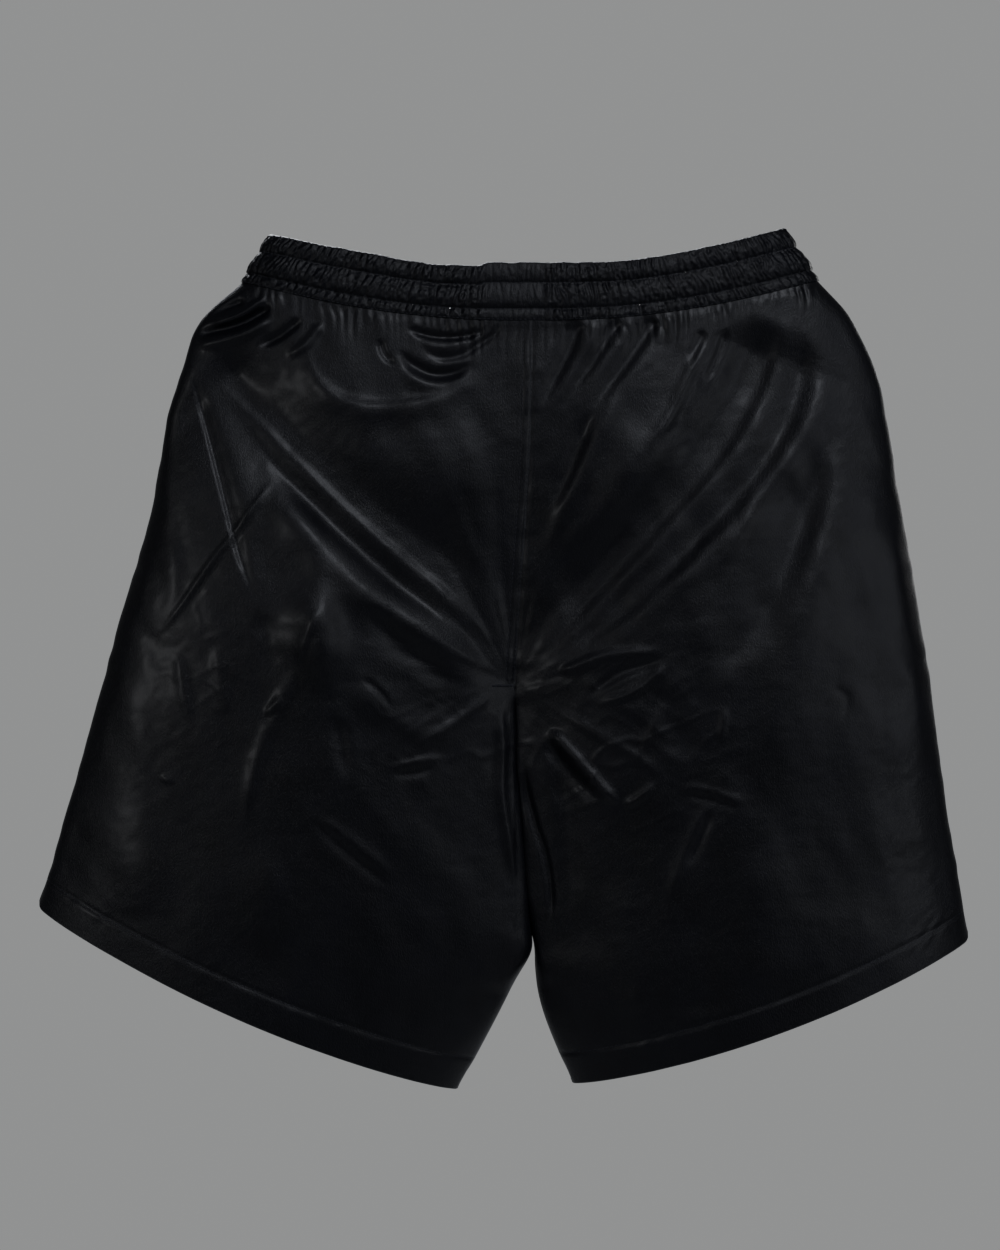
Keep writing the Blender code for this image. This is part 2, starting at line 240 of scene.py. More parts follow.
FOLD_REACH = 3.2  # a fold is left out further away than this many of its widths
END_WIDTH = 0.55  # a fold's width at its ends, as a share
MIDDLE_WIDTH = 0.45  # what its middle adds to that
NARROW_CREASE = 5  # mm: a fold no wider than this is a narrow crease
CRINKLE_GAIN = 1.3  # narrow creases are this much higher than their height in the table


def fold_height(x, z, path, height, left, right, fade):
    """One fold: height and the widths of its two flanks in mm. It fades out at both ends."""
    reach = FOLD_REACH * max(left, right) * MM
    xs = [p[0] * MM for p in path]
    zs = [p[1] * MM for p in path]
    near = (x > min(xs) - reach) & (x < max(xs) + reach) & (z > min(zs) - reach) & (z < max(zs) + reach)
    out = np.zeros(x.shape)
    if not near.any():
        return out
    distance, share = along_path(x[near], z[near], path)
    ends = ease(share / fade[0]) * ease((1 - share) / fade[1])
    narrow = END_WIDTH + MIDDLE_WIDTH * ends
    width = np.where(distance > 0, left, right) * MM * narrow
    sharper = CRINKLE_GAIN if max(left, right) <= NARROW_CREASE else 1.0
    out[near] = sharper * height * MM * ends * np.exp(-((distance / width) ** 2))
    return out


# Crumpled patches beside the crotch and at the left side, as (x, z, half width, half height, crease height)
CRUMPLED = [(62, -338, 62, 46, 0.85), (-74, -332, 58, 34, 0.5), (-196, -300, 40, 60, 0.3)]

# Folds of the back, as (path, height, width of the flank on the left of the path, on its right, fades).
# Most paths run downwards, so their left flank is the one towards +X.
BACK_FOLDS = [
    # from the left hip to the crotch
    ([(-214, -78), (-170, -122), (-126, -162), (-84, -198), (-46, -226), (-18, -246)],
     -8.5, 19, 50, (0.12, 0.25)),
    ([(-210, -96), (-180, -126), (-144, -163), (-108, -197), (-70, -229), (-38, -256), (-14, -282)],
     1.5, 3.6, 6.5, (0.2, 0.2)),
    ([(-180, -140), (-150, -174), (-118, -206), (-84, -236), (-48, -264)], -3, 7, 6, (0.3, 0.3)),
    ([(-178, -166), (-140, -206), (-104, -244), (-62, -272), (-20, -300)], 5, 11, 13, (0.25, 0.2)),
    ([(-92, -130), (-64, -148), (-40, -165), (-20, -190)], 1.6, 30, 24, (0.35, 0.35)),
    ([(-110, -245), (-76, -280), (-45, -300)], -3, 8, 8, (0.3, 0.3)),
    # bulge of the left seat
    ([(-75, -115), (-50, -150), (-28, -180)], 0.8, 26, 26, (0.4, 0.4)),
    # long creases of the left hip
    ([(-224, -92), (-211, -135), (-199, -178), (-188, -218), (-176, -250)], -1.5, 5, 1.6, (0.2, 0.25)),
    ([(-217, -94), (-198, -140), (-184, -180), (-172, -214)], 1.3, 12, 8, (0.25, 0.3)),
    ([(-166, -166), (-190, -199), (-207, -221), (-228, -251), (-245, -272)], 0.9, 1.8, 1.8, (0.15, 0.3)),
    ([(-163, -174), (-188, -206), (-205, -228), (-224, -256)], -0.35, 1.8, 1.8, (0.15, 0.3)),
    ([(-140, -212), (-136, -244), (-134, -276), (-134, -312)], 9.5, 15, 20, (0.5, 0.4)),
    ([(-134, -250), (-143, -270), (-150, -288)], 1, 2, 4.5, (0.3, 0.3)),
    ([(-176, -250), (-168, -275), (-164, -300)], -1.6, 7, 7, (0.3, 0.4)),
    ([(-158, -308), (-168, -318), (-172, -322)], 1, 2.6, 2.6, (0.3, 0.3)),
    ([(-160, -314), (-172, -326)], -0.7, 2.4, 2.4, (0.3, 0.3)),
    ([(-148, -286), (-165, -322), (-175, -348), (-181, -372), (-186, -400)], 1.3, 4, 5, (0.2, 0.4)),
    ([(-248, -130), (-236, -200), (-230, -252)], 1.6, 7, 9, (0.3, 0.3)),
    ([(-229, -278), (-223, -312), (-218, -330)], 1.1, 4, 5, (0.3, 0.4)),
    ([(-203, -275), (-200, -300), (-196, -322)], 0.9, 5, 5, (0.3, 0.4)),
    # left thigh
    ([(-109, -296), (-96, -306), (-88, -318)], -0.8, 2.2, 1.8, (0.3, 0.3)),
    ([(-126, -318), (-120, -345), (-118, -366)], -1.5, 5, 5, (0.3, 0.4)),
    ([(-120, -300), (-94, -318), (-70, -330), (-42, -338)], 2.2, 14, 12, (0.3, 0.3)),
    ([(-93, -356), (-74, -351), (-52, -348)], 1.1, 2.2, 3.2, (0.3, 0.3)),
    ([(-90, -360), (-70, -358), (-60, -354)], -0.8, 2.2, 2.2, (0.3, 0.3)),
    ([(-20, -306), (-48, -326), (-78, -344)], 0.9, 2.6, 3.4, (0.2, 0.3)),
    ([(-144, -386), (-114, -412), (-88, -434)], -0.8, 2.2, 4.5, (0.25, 0.3)),
    ([(-138, -384), (-110, -406), (-84, -428)], 0.6, 4, 3, (0.25, 0.3)),
    ([(-240, -362), (-230, -364)], 0.8, 2, 2, (0.3, 0.3)),
    ([(-160, -400), (-170, -440), (-172, -480)], 1.4, 16, 16, (0.4, 0.3)),
    ([(-95, -440), (-88, -480), (-84, -520)], 1.2, 18, 18, (0.4, 0.2)),
    ([(-250, -400), (-255, -430), (-258, -455)], 1, 14, 14, (0.4, 0.2)),
    # the smiles under the left waistband
    ([(-147, -70), (-143, -92), (-131, -110), (-110, -119), (-80, -119), (-52, -112), (-26, -99)],
     2.6, 5, 10, (0.3, 0.3)),
    ([(-86, -80), (-75, -91), (-62, -97), (-48, -96), (-34, -89)], -2.6, 3.2, 4, (0.3, 0.3)),
    ([(-86, -90), (-74, -101), (-60, -105), (-44, -102), (-34, -95)], 0.9, 3.6, 5, (0.3, 0.3)),
    ([(-70, -80), (-58, -86), (-45, -85), (-30, -76), (-14, -66)], -1.4, 2.2, 2.8, (0.3, 0.3)),
    ([(-72, -75), (-60, -79), (-48, -78), (-38, -72)], 0.6, 2.4, 2.6, (0.3, 0.3)),
    ([(-80, -67), (-62, -72), (-42, -72), (-26, -68)], -2.2, 2.2, 2.6, (0.2, 0.2)),
    ([(-97, -74), (-94, -84), (-86, -92)], -1.5, 1.8, 2.2, (0.2, 0.3)),
    # the left hip, just under the waistband
    ([(-186, -47), (-203, -53), (-217, -60)], -2.4, 2.4, 2.8, (0.15, 0.2)),
    ([(-168, -51), (-187, -62), (-206, -67), (-220, -68)], -3, 2.8, 3.4, (0.15, 0.15)),
    ([(-166, -59), (-184, -69), (-205, -75), (-222, -76)], 1.8, 3.4, 4.2, (0.2, 0.15)),
    ([(-172, -45), (-190, -57), (-210, -63)], 1.8, 2.6, 2.6, (0.2, 0.2)),
    ([(-148, -60), (-164, -72), (-180, -79)], -2, 2.8, 3.4, (0.2, 0.3)),
    ([(-134, -62), (-146, -78), (-160, -86)], 1.4, 3, 4, (0.2, 0.3)),
    # from the right half of the waistband, down towards the crotch
    ([(35, -62), (26, -84), (15, -106), (5, -128)], -3, 4.6, 6, (0.05, 0.55)),
    ([(61, -60), (47, -82), (32, -104), (18, -126)], -3, 4.4, 6, (0.05, 0.55)),
    ([(48, -66), (37, -90), (25, -110), (14, -132)], 1.2, 4.5, 5.2, (0.2, 0.5)),
    ([(85, -60), (70, -82), (55, -103), (38, -126)], -3.4, 4.8, 6.4, (0.05, 0.55)),
    ([(44, -118), (34, -142), (24, -168), (14, -190)], -2.8, 5.5, 6.5, (0.3, 0.35)),
    ([(62, -104), (48, -134), (36, -160), (22, -190), (12, -214)], 2.4, 7, 6, (0.3, 0.35)),
    ([(118, -74), (106, -98), (92, -128), (74, -150)], 1.8, 4.5, 5, (0.2, 0.4)),
    ([(116, -68), (111, -80), (106, -94)], -1.2, 3, 3.4, (0.15, 0.4)),
    ([(132, -66), (124, -88), (116, -106)], -1.2, 2.4, 3, (0.2, 0.3)),
    ([(160, -58), (150, -86), (128, -128), (98, -168), (64, -206), (34, -240), (12, -268), (2, -290)],
     -9.5, 40, 18, (0.1, 0.25)),
    ([(172, -52), (164, -94), (138, -146), (102, -190), (66, -230), (34, -264), (10, -292)],
     2.6, 9, 6, (0.15, 0.2)),
    ([(184, -64), (176, -116), (152, -160), (120, -198), (88, -232), (62, -258)], -2, 7, 7, (0.2, 0.35)),
    ([(196, -76), (186, -128), (160, -168), (128, -204), (92, -238), (58, -268), (30, -292)],
     3, 12, 9, (0.2, 0.25)),
    ([(96, -118), (74, -150), (54, -184), (34, -214)], 3.6, 17, 16, (0.35, 0.35)),
    ([(196, -140), (176, -200), (150, -256), (120, -300)], -6, 13, 26, (0.3, 0.35)),
    ([(212, -120), (198, -190), (180, -260), (160, -330), (148, -390)], 4.5, 34, 13, (0.3, 0.35)),
    ([(150, -182), (138, -205), (124, -228)], 1, 4, 5, (0.3, 0.3)),
    # right thigh
    ([(18, -294), (50, -282), (90, -278)], 1.6, 3, 5, (0.15, 0.3)),
    ([(38, -310), (60, -294), (90, -284)], -1.5, 3.4, 3.4, (0.3, 0.25)),
    ([(44, -314), (72, -304), (92, -286)], 1.3, 3, 3, (0.3, 0.2)),
    ([(14, -330), (32, -350), (50, -370), (62, -381)], 2.6, 4, 4.5, (0.15, 0.2)),
    ([(10, -338), (27, -358), (46, -378)], -1.6, 4, 4, (0.2, 0.3)),
    ([(62, -381), (76, -372), (84, -364)], 1.3, 2.6, 3, (0.2, 0.3)),
    ([(16, -316), (54, -338), (92, -360)], 0.9, 3, 4, (0.3, 0.3)),
    ([(70, -352), (84, -325), (92, -308)], 0.8, 3, 3, (0.3, 0.3)),
    ([(116, -378), (108, -398), (99, -420), (90, -448)], 1, 3, 4, (0.2, 0.3)),
    ([(120, -382), (112, -402), (103, -422)], -1, 3, 3, (0.2, 0.3)),
    ([(98, -366), (120, -370), (142, -378)], 0.6, 2.4, 3, (0.2, 0.2)),
    ([(102, -372), (124, -377), (138, -382)], -0.6, 2, 2.6, (0.2, 0.2)),
    ([(129, -315), (127, -328), (126, -340)], 1, 2.2, 2.8, (0.3, 0.3)),
    ([(197, -302), (208, -308), (206, -326)], -0.35, 2.4, 2.4, (0.3, 0.3)),
    ([(84, -300), (96, -330), (104, -352)], -1.4, 10, 10, (0.3, 0.3)),
    ([(200, -340), (196, -400), (198, -460)], -1.6, 20, 22, (0.3, 0.2)),
    ([(244, -180), (252, -280), (262, -380)], 1.8, 10, 14, (0.3, 0.3)),
    ([(60, -420), (64, -470), (72, -520)], 1.8, 16, 14, (0.3, 0.15)),
    ([(150, -400), (154, -450), (160, -500)], 1.6, 18, 18, (0.3, 0.15)),
    ([(105, -440), (108, -480), (112, -520)], -1.4, 14, 14, (0.3, 0.15)),
    # beside the inseams
    ([(-17, -314), (-16, -345), (-16, -375), (-12, -402), (-7, -440)], 1.6, 3, 4, (0.15, 0.3)),
    ([(-3, -350), (0, -372), (5, -392), (12, -414), (16, -445), (15, -462)], -2, 2.4, 3.2, (0.25, 0.2)),
    ([(16, -340), (24, -376), (28, -420), (27, -456)], -2.4, 9, 8, (0.3, 0.3)),
]


FRONT_NARROWEST = 4.5  # mm: narrower folds are left out at the front
FRONT_SHIFT = 12  # mm
FRONT_SOFTENING = (0.5, 0.95)
FRONT_WIDENING = 1.15


def mirrored(folds, seed):
    """Folds for the front: the same kind of drag lines, mirrored, jittered and softer."""
    rng = np.random.default_rng(seed)
    made = []
    for path, height, left, right, fade in folds:
        if max(left, right) < FRONT_NARROWEST:
            continue
        shift = rng.uniform(-FRONT_SHIFT, FRONT_SHIFT, 2)
        moved = [(-x + shift[0], z + shift[1]) for x, z in path]
        softer = height * rng.uniform(*FRONT_SOFTENING)
        made.append((moved, softer, right * FRONT_WIDENING, left * FRONT_WIDENING, fade))
    return made


FOLDS = {"back": BACK_FOLDS, "front": mirrored(BACK_FOLDS, 7)}


GATHER_PITCH = 6.4 * MM
GATHER_JITTER = 3.4 * MM
SHORTEST_GATHER = 4 * MM


def gather_height(x, below, seed):
    """Little pleats that leave the waist seam: height at a distance below it."""
    jitter = GATHER_JITTER * lattice_noise(x, below * 0.6, 12 * MM, seed)
    waves = np.abs(np.sin(math.pi * (x + jitter) / GATHER_PITCH))
    reach = (10 + 10 * lattice_noise(x, 0 * x, 9 * MM, seed + 1)) * MM
    fade = np.exp(-((below / np.maximum(reach, SHORTEST_GATHER)) ** 2))
    height = (1.5 + 1.3 * lattice_noise(x, 0 * x, 7 * MM, seed + 15)) * MM
    return height * (waves - 0.5) * fade


# Soft unevenness of the cloth, as (height in mm, slant, squash along z, size in mm)
UNEVENNESS = [(1.6, 0.0, 0.6, 46), (0.6, 0.3, 0.5, 15), (0.12, -0.4, 1.0, 5.5)]
DRAG_WRINKLE = 0.7 * MM
FINE_DRAG_WRINKLE = 0.3 * MM
DRAG_ANGLE = 0.17  # radians between drag wrinkles
DRAG_START = 0.06  # m: they reach their height this far from the crotch
SECOND_CREASES = 0.6  # height of a patch's second creases, as a share


def wrinkle_layers(v, x, z, seed):
    """The random heights, one layer after the other."""
    # drag wrinkles that spread from the crotch
    dx = x - RISE[-1][0]
    dz = z - RISE[-1][1]
    radius = np.hypot(dx, dz)
    angle = np.arctan2(dx, dz)
    spread = ease(radius / DRAG_START) * ease((v + 0.05) / 0.25)
    softer = 1 - 0.5 * ease((v - 0.5) / 0.3)
    yield DRAG_WRINKLE * lattice_noise(angle, radius, DRAG_ANGLE, seed) * spread * softer
    fine = lattice_noise(angle * 0.10, radius * 0.25, 7 * MM, seed + 2)
    yield FINE_DRAG_WRINKLE * fine * spread * (1 - ease((v - 0.45) / 0.2))
    for k, (height, slant, squash, size) in enumerate(UNEVENNESS):
        yield height * MM * lattice_noise(x + slant * z, squash * z, size * MM, seed + 3 + k)
    for cx, cz, half_x, half_z, size in CRUMPLED:
        patch = np.exp(-(((x / MM - cx) / half_x) ** 2) - ((z / MM - cz) / half_z) ** 2)
        crease = lattice_noise(0.45 * x + 0.3 * z, z - 0.6 * x, 17 * MM, seed + 12)
        yield size * MM * patch * np.maximum(1 - 5 * np.abs(crease), 0) ** 1.5
        crease = lattice_noise(0.5 * x - 0.4 * z, z + 0.7 * x, 16 * MM, seed + 13)
        yield SECOND_CREASES * size * MM * patch * np.maximum(1 - 4 * np.abs(crease), 0) ** 1.5


AT_WAIST_SEAM = 0.25  # share of the folds' height that is left at the waist seam
SIDE_TURN = 14  # mm: folds fade out over this distance from a side seam or a free inseam
PRESSED_TURN = 3  # mm: the same at a pressed inseam
HEM_SMOOTHING = 0.55  # share of the folds' height that is lost towards the hem
HEM_THICKNESS = 0.5 * MM  # how far the doubled hem stands out
HEM_GROOVE = 0.55 * MM
RISE_ROWS = (1.2 * MM, 6.4 * MM)  # the two rows of topstitching, as distances from the rise
ROW_GROOVE = 0.35
RISE_ALLOWANCE = 0.5  # mm: the pressed allowance lifts the cloth between them
SEAM_GROOVE = 0.4


def relief(side, face, u, v, x, z):
    """How far a panel's cloth stands out from its plain shape."""
    total = np.zeros(x.shape)
    for fold in FOLDS[face]:
        total += fold_height(x, z, *fold)
    seed = 40 if face == "back" else 60
    for layer in wrinkle_layers(v, x, z, seed):
        total += layer
    # gathers
    below = v * length_of(SIDE_SEAM[side])
    total += gather_height(x, below, seed + 6)
    total *= AT_WAIST_SEAM + (1 - AT_WAIST_SEAM) * ease(below / (6 * MM))
    # folds end at the side seam and the inseam, but run across the rise seam
    width = np.abs(inner_edge(side, v)[..., 0] - side_curve[side](v)[..., 0])
    to_inner = (1 - u) * width
    to_outer = u * width
    above_crotch = v < CROTCH
    parted = ease((v - LEGS_PART) / PART_RAMP)
    turn_in = ease(to_inner / ((PRESSED_TURN + (SIDE_TURN - PRESSED_TURN) * parted) * MM))
    total *= np.where(above_crotch, 1.0, turn_in) * ease(to_outer / (SIDE_TURN * MM))
    # the hem: smoother and thicker cloth, and a puckered groove along its stitches
    below_line = v - HEM_LINE[side]
    total *= 1 - HEM_SMOOTHING * ease((below_line + 0.06) / 0.1)
    total += ease(below_line / 0.004) * HEM_THICKNESS
    line = below_line * length_of(SIDE_SEAM[side])
    pucker = 1 + 0.6 * lattice_noise(x, 0 * x, 9 * MM, seed + 8)
    total -= HEM_GROOVE * pucker * np.exp(-((line / (1.1 * MM)) ** 2))
    slanted = lattice_noise(x + line * 0.9, 0 * x, 6 * MM, seed + 9)
    total += 0.35 * MM * slanted * np.exp(-((line / (7 * MM)) ** 2))
    # the rise seam, with its allowance stitched down to the left panel
    if side == "left":
        for row in RISE_ROWS:
            groove = np.exp(-(((to_inner - row) / (0.7 * MM)) ** 2))
            total -= np.where(above_crotch, ROW_GROOVE, 0) * MM * groove
        ridge = np.exp(-(((to_inner - 3.8 * MM) / (2.6 * MM)) ** 4))
        total += np.where(above_crotch, RISE_ALLOWANCE, 0) * MM * ridge
    seam_groove = np.where(above_crotch, SEAM_GROOVE, 0) * MM * np.exp(-((to_inner / (1.2 * MM)) ** 2))
    pucker = 0.5 * MM * lattice_noise(z, 0 * z, 8 * MM, seed + 10) * np.exp(-((to_inner / (9 * MM)) ** 2))
    return total - seam_groove + np.where(above_crotch, pucker, 0)


LEAST_OUT = 0.4 * MM  # folds leave at least this half depth
INNERMOST = 0.15 * MM  # the same for inside surfaces
CLOSING = 0.4 * MM  # back and front come together over this distance at a sewn edge
OUTLINE_WAVER = (1.3 * MM, 34 * MM)  # height and size
FINE_OUTLINE_WAVER = (0.5 * MM, 9 * MM)
OUTER_CORNER = 3.5 * MM  # radius of the hem's corner at the side seam
INNER_CORNER = 2.5 * MM  # radius of its corner at the inseam


def surface(side, face, u, v, inset=0.0):
    """Points of a panel with its folds, or that far inside it, measured front to back."""
    x, depth, z = plain_panel(side, face, u, v)
    out = depth + relief(side, face, u, v, x, z)
    out = np.maximum(out, np.minimum(depth, LEAST_OUT))
    out = np.maximum(out - inset, INNERMOST)
    # sewn edge to edge at the side seam and the inseam
    width = np.abs(inner_edge(side, v)[..., 0] - side_curve[side](v)[..., 0])
    out = out * np.minimum(u * width / CLOSING, 1)
    out = out * (1 - ease((v - CROTCH) / SEAM_RAMP) * (1 - np.minimum((1 - u) * width / CLOSING, 1)))
    # the outline wavers a little, and the corners of the hem are round
    coarse = OUTLINE_WAVER[0] * lattice_noise(z, 0 * z, OUTLINE_WAVER[1], 90)
    fine = FINE_OUTLINE_WAVER[0] * lattice_noise(z, 0 * z, FINE_OUTLINE_WAVER[1], 91)
    x = x + (coarse + fine) * (1 - ease(u / 0.12)) * ease(v / 0.05)
    for share, radius in ((u, OUTER_CORNER), (1 - u, INNER_CORNER)):
        past = 1 - np.clip(share * width / radius, 0, 1)
        z = z + radius * (1 - np.sqrt(1 - past * past)) * ease((v - HEM_LINE[side]) / (1 - HEM_LINE[side]))
    return np.stack([x, FACES[face] * out, z], axis=-1)


# Waistband

BAND_COLUMNS = 300  # on each quarter of the waist
ELASTIC_JOIN = (-28, 8)  # mm: the ungathered stretch at the middle of the back
EYELETS = (-22.5, 22.5)  # mm: places of the drawcord's buttonholes at the front
BAND_THICKNESS = 3.6 * MM
BAND_HEIGHT = 37  # mm
BAND_TOP = 0.95  # share of its height where the wall turns over its top
BUTTONHOLE_HEIGHT = (TIERS[1] + TIERS[2]) / 2
EVEN_SHARE = 0.65  # how much of the spacing of columns is even
TOP_DIP = 2.2 * MM  # how deep the top edge dips over the left half of the back
TOP_STEP = 2.0 * MM  # how much higher it lies to the right of the dip
TIER_PUFFS = (1.1, 2.5, 2.0)  # mm, from the lowest tier
WIDE_PLEATS = 5.4 * MM
FINE_PLEATS = 3.5 * MM
BAND_SEED = 200
INNER_GATHERS = 0.55  # their height on the inside, as a share


def column_shares(count):
    """Even in the middle and closer together at both folds."""
    t = np.linspace(0, 1, count + 1)
    return EVEN_SHARE * t + (1 - EVEN_SHARE) * (1 - np.cos(math.pi * t)) / 2


def band_plain(height):
    """The waistband's outer wall without its gathers, once round the waist from the wearer's left hip."""
    us = column_shares(BAND_COLUMNS)
    runs = []
    quarters = (("back", "left", us[:-1]), ("back", "right", us[:0:-1]),
                ("front", "right", us[:-1]), ("front", "left", us[:0:-1]))
    for face, side, u in quarters:
        x0, d0, z0 = plain_panel(side, face, u, 0 * u)
        corner = WAIST_TOP[side]
        drop = FRONT_WAIST_DROP if face == "front" else 0.0
        x1 = corner[0] + (WAIST_TOP_MIDDLE[0] - corner[0]) * u
        z1 = corner[1] + (WAIST_TOP_MIDDLE[1] - drop - corner[1]) * (1 - (1 - u) ** 2)
        if face == "back":
            z1 = z1 - TOP_DIP * np.exp(-(((x1 + 62 * MM) / (32 * MM)) ** 2))
            z1 = z1 + TOP_STEP * ease((x1 + 32 * MM) / (6 * MM)) * (1 - ease((x1 - 8 * MM) / (60 * MM)))
        d1 = SEAM_HALF + section(1 - u, *WAIST_TOP_DEPTH)
        runs.append(np.stack([x0 + (x1 - x0) * height, FACES[face] * (d0 + (d1 - d0) * height),
                              z0 + (z1 - z0) * height], axis=-1))
    return np.concatenate(runs)


def gathered(loop, height, seed):
    """How far the gathered cloth stands out, all round, at a height. Its pleats lean a little."""
    middle = band_plain(0.5)
    along = np.concatenate([[0], np.cumsum(np.linalg.norm(np.diff(middle, axis=0), axis=1))])
    tier = max(k for k in range(3) if TIERS[k] <= height or k == 0)
    share = np.clip((height - TIERS[tier]) / (TIERS[tier + 1] - TIERS[tier]), 0, 1)
    swell = math.sin(math.pi * share ** 0.8) ** 0.75 if 0 < share < 1 else 0.0
    # flat where the elastic is joined and round the buttonholes
    flat = np.zeros(len(loop))
    back, front = loop[:, 1] < 0, loop[:, 1] > 0
    x = loop[:, 0] / MM
    flat[back] = (ease((x - ELASTIC_JOIN[0] + 3) / 5) * (1 - ease((x - ELASTIC_JOIN[1] - 2) / 5)))[back]
    for place in EYELETS:
        flat[front] = np.maximum(flat, 1 - ease((np.abs(x - place) - 4) / 5))[front]
    lively = 1 - 0.75 * flat
    # wide and fine pleats take turns, over a puff in each tier
    up = 0 * along + height * BAND_HEIGHT * MM
    lean = 1.6 * MM * lattice_noise(along, up, 8 * MM, seed + 2 * tier)
    wide = np.abs(np.sin(math.pi * (along + lean + 1.3 * tier * MM) / WIDE_PLEATS)) ** 0.7 - 0.6
    fine = np.abs(np.sin(math.pi * (along + 1.4 * lean) / FINE_PLEATS)) ** 0.8 - 0.55
    choice = ease(0.5 + 0.9 * lattice_noise(along, up, 10 * MM, seed + 9 + tier))
    size = 1.15 + 0.9 * lattice_noise(along, up, 6 * MM, seed + 1 + tier)
    pleat = size * (wide * choice + 0.75 * fine * (1 - choice)) * (0.75 + 0.25 * swell)
    small = lattice_noise(along, up, 1.9 * MM, seed + 5)
    uneven = 1 + 0.2 * lattice_noise(along, up, 15 * MM, seed + 7 + tier)
    puff = TIER_PUFFS[tier] * swell * uneven
    return MM * np.maximum(puff * (1 - 0.35 * flat) + lively * (pleat + 0.45 * small), -0.8)


def push(loop, distance):
    """A closed loop moved outwards, level. The loop runs anticlockwise, seen from above."""
    along = np.roll(loop, -1, axis=0) - np.roll(loop, 1, axis=0)
    normal = np.stack([along[:, 1], -along[:, 0], 0 * along[:, 0]], axis=-1)
    normal /= np.maximum(np.linalg.norm(normal, axis=1), 1e-9)[:, None]
    return loop + normal * np.asarray(distance).reshape(-1, 1)


def band_wall(height, inset=0.0):
    """The gathered outer wall at a height, once round, or that far inside it with gathers of its own."""
    loop = band_plain(height)
    if inset == 0:
        out = gathered(loop, height, BAND_SEED)
    else:
        out = -INNER_GATHERS * gathered(loop, height, BAND_SEED + 31)
    wave = lattice_noise(loop[:, 0] + 3 * loop[:, 1], 0 * loop[:, 0], 7 * MM, BAND_SEED + 20)
    loop = push(loop, out - inset)
    loop[:, 2] += 0.5 * MM * wave * height
    return loop


# Mesh helpers

def grid_faces(rows, columns, flip):
    """Quads of a grid of points."""
    index = np.arange(rows * columns).reshape(rows, columns)
    a, b, c, d = index[:-1, :-1], index[:-1, 1:], index[1:, 1:], index[1:, :-1]
    quads = np.stack([a, b, c, d] if not flip else [a, d, c, b], axis=-1)
    return quads.reshape(-1, 4)


def mesh_object(name, verts, faces, material, parts):
    """A smooth mesh in the one body, in place of some CAD nodes."""
    mesh = bpy.data.meshes.new(name)
    mesh.from_pydata(np.asarray(verts).reshape(-1, 3).tolist(), [], np.asarray(faces).tolist())
    mesh.shade_smooth()
    mesh.validate()
    obj = bpy.data.objects.new(name, mesh)
    bpy.context.scene.collection.objects.link(obj)
    mesh.materials.append(material)
    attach(obj, "root")
    if parts:
        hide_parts(*parts)
    return obj


def closed_rows(points):
    """A grid whose columns run once round, with the first column repeated at its end."""
    return np.concatenate([points, points[:, :1]], axis=1)


# Materials

SHEEN_TINT = (0.62, 0.68, 0.85, 1)
GRAIN_SCALE = 1400.0
GRAIN_DEPTH = 0.0003
WEAVE_SHARE = 0.2  # of the woven rows in the bump


